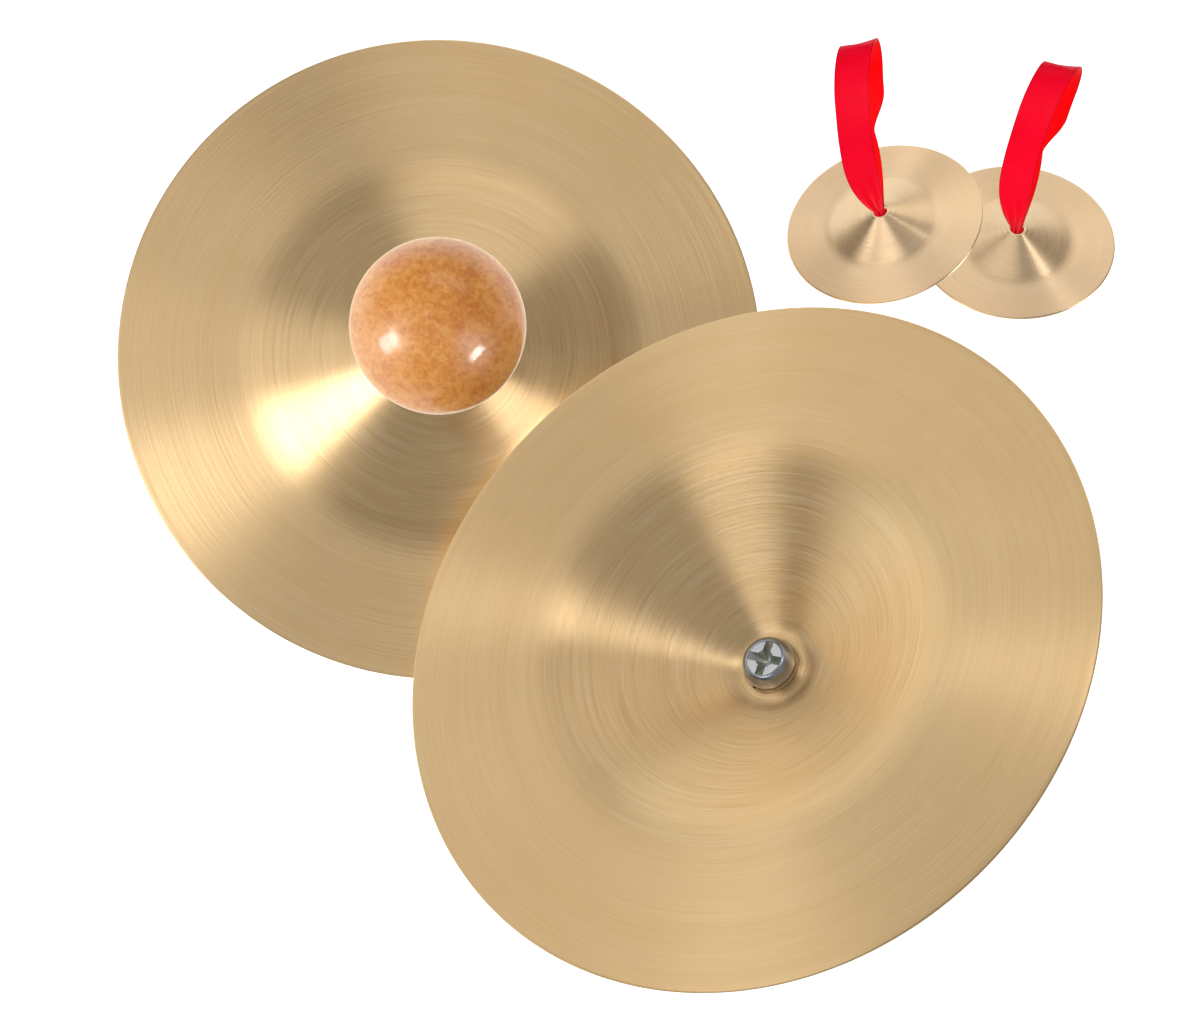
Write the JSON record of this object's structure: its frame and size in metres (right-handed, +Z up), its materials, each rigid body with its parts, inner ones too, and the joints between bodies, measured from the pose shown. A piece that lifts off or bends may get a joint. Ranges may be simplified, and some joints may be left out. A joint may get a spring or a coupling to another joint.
{
  "type": "hand cymbals",
  "caption": "Hand cymbals: dished brass plates screwed to wooden ball knobs, with small finger cymbals on satin ribbon loops.",
  "frame": {"origin": "middle of the set's footprint, on the surface that it stands on", "axes": "+Z up; +X runs from the left plate towards the finger plates; +Y is the side that the ribbon loops lean towards"},
  "size_m": [0.2304, 0.205, 0.1078],
  "materials": {
    "plate_brass": "satin, turned in fine rings",
    "finger_brass": "satin, turned in fine rings",
    "knob_wood": "varnished",
    "insert_brass": "plain",
    "screw_steel": "zinc plated",
    "washer_steel": "zinc plated",
    "ribbon_red": "satin"
  },
  "bodies": {
    "cymbal_left": {"plate_left": "plate_brass"},
    "handle_left": {"knob_left": "knob_wood", "insert_left": "insert_brass", "screw_left": "screw_steel", "washer_left": "washer_steel"},
    "cymbal_right": {"plate_right": "plate_brass"},
    "handle_right": {"knob_right": "knob_wood", "insert_right": "insert_brass", "screw_right": "screw_steel", "washer_right": "washer_steel"},
    "finger_right": {"finger_plate_right": "finger_brass", "ribbon_knot_right": "ribbon_red"},
    "ribbon_right": {"ribbon_loop_right": "ribbon_red"},
    "finger_left": {"finger_plate_left": "finger_brass", "ribbon_knot_left": "ribbon_red"},
    "ribbon_left": {"ribbon_loop_left": "ribbon_red"}
  },
  "joints": [
    {"name": "handle_left_spin", "type": "hinge", "parent": "cymbal_left", "child": "handle_left", "pos_m": [-0.04022, 0.02752, 0], "axis": [0, 0, 1], "continuous": true},
    {"name": "cymbal_right_lift", "type": "slide", "parent": "cymbal_left", "child": "cymbal_right", "axis": [0, 0, 1], "range_m": [0, 0.1]},
    {"name": "handle_right_spin", "type": "hinge", "parent": "cymbal_right", "child": "handle_right", "pos_m": [0.01948, -0.03365, 0.06055], "axis": [-0.4822, 0.4046, 0.7771], "continuous": true},
    {"name": "finger_right_lift", "type": "slide", "parent": "cymbal_left", "child": "finger_right", "axis": [0, 0, 1], "range_m": [0, 0.06]},
    {"name": "finger_left_lift", "type": "slide", "parent": "finger_right", "child": "finger_left", "axis": [0, 0, 1], "range_m": [0, 0.06]},
    {"name": "ribbon_right_swing", "type": "hinge", "parent": "finger_right", "child": "ribbon_right", "pos_m": [0.09206, 0.05658, 0.01562], "axis": [-0.9999, 0.0105, 0], "range_deg": [-66, 26]},
    {"name": "ribbon_left_swing", "type": "hinge", "parent": "finger_left", "child": "ribbon_left", "pos_m": [0.05979, 0.05994, 0.01712], "axis": [-0.9354, -0.3535, 0], "range_deg": [-66, 22]}
  ]
}
